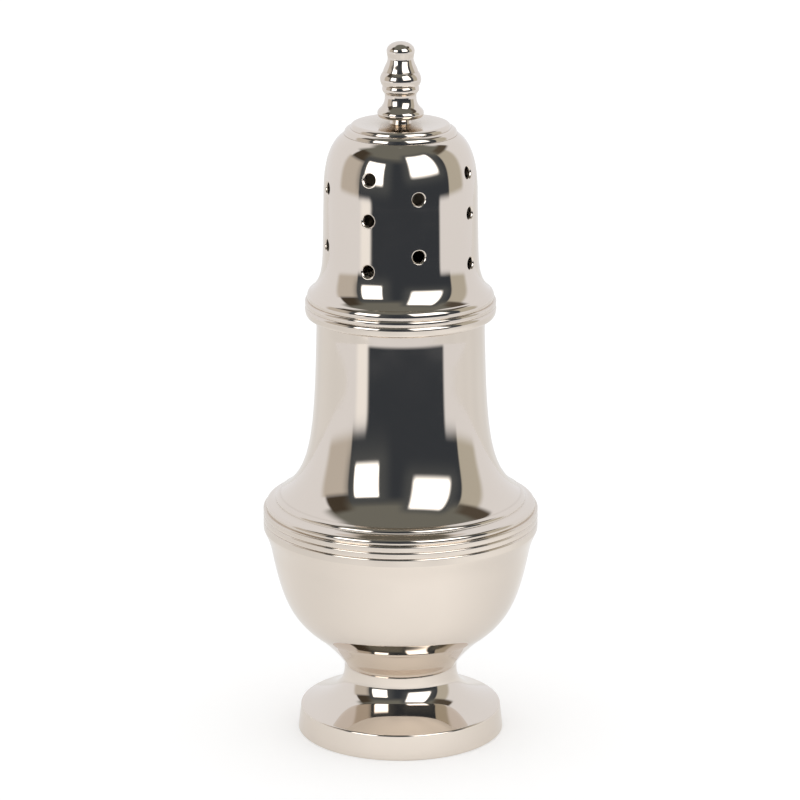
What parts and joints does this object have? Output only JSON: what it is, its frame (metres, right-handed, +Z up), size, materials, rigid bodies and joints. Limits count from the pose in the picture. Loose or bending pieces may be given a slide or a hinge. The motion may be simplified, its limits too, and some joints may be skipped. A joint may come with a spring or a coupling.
{
  "type": "sugar caster",
  "caption": "Baluster sugar caster in polished plate: spun bowl on a spool foot, reeded girdle, tall neck and a pierced lift-off cap with a turned finial.",
  "frame": {"origin": "centre of the foot's resting face", "axes": "+Z up along the axis of turning, through the finial; -Y is the front in the picture; +X is to its right"},
  "size_m": [0.0702, 0.0702, 0.1803],
  "materials": {
    "polished_plate": "warm nickel or silver plate on brass, buffed to a mirror",
    "satin_plate": "plate left as drawn, rubbed by the mouth",
    "bare_brass": "unplated turned brass"
  },
  "bodies": {
    "caster_body": {"foot": "polished_plate", "foot_wire": "polished_plate", "stem_spigot": "bare_brass", "bowl": "polished_plate", "girdle_ring": "polished_plate", "shoulder_and_neck": "polished_plate"},
    "cap": {"cap_dome": "polished_plate", "cap_collar": "polished_plate", "cap_sleeve": "satin_plate", "crown_plate": "polished_plate", "finial": "polished_plate", "finial_washer": "bare_brass", "finial_nut": "bare_brass"}
  },
  "joints": [
    {"name": "cap_lift", "type": "slide", "parent": "caster_body", "child": "cap", "axis": [0, 0, 1], "range_m": [0, 0.06]}
  ]
}
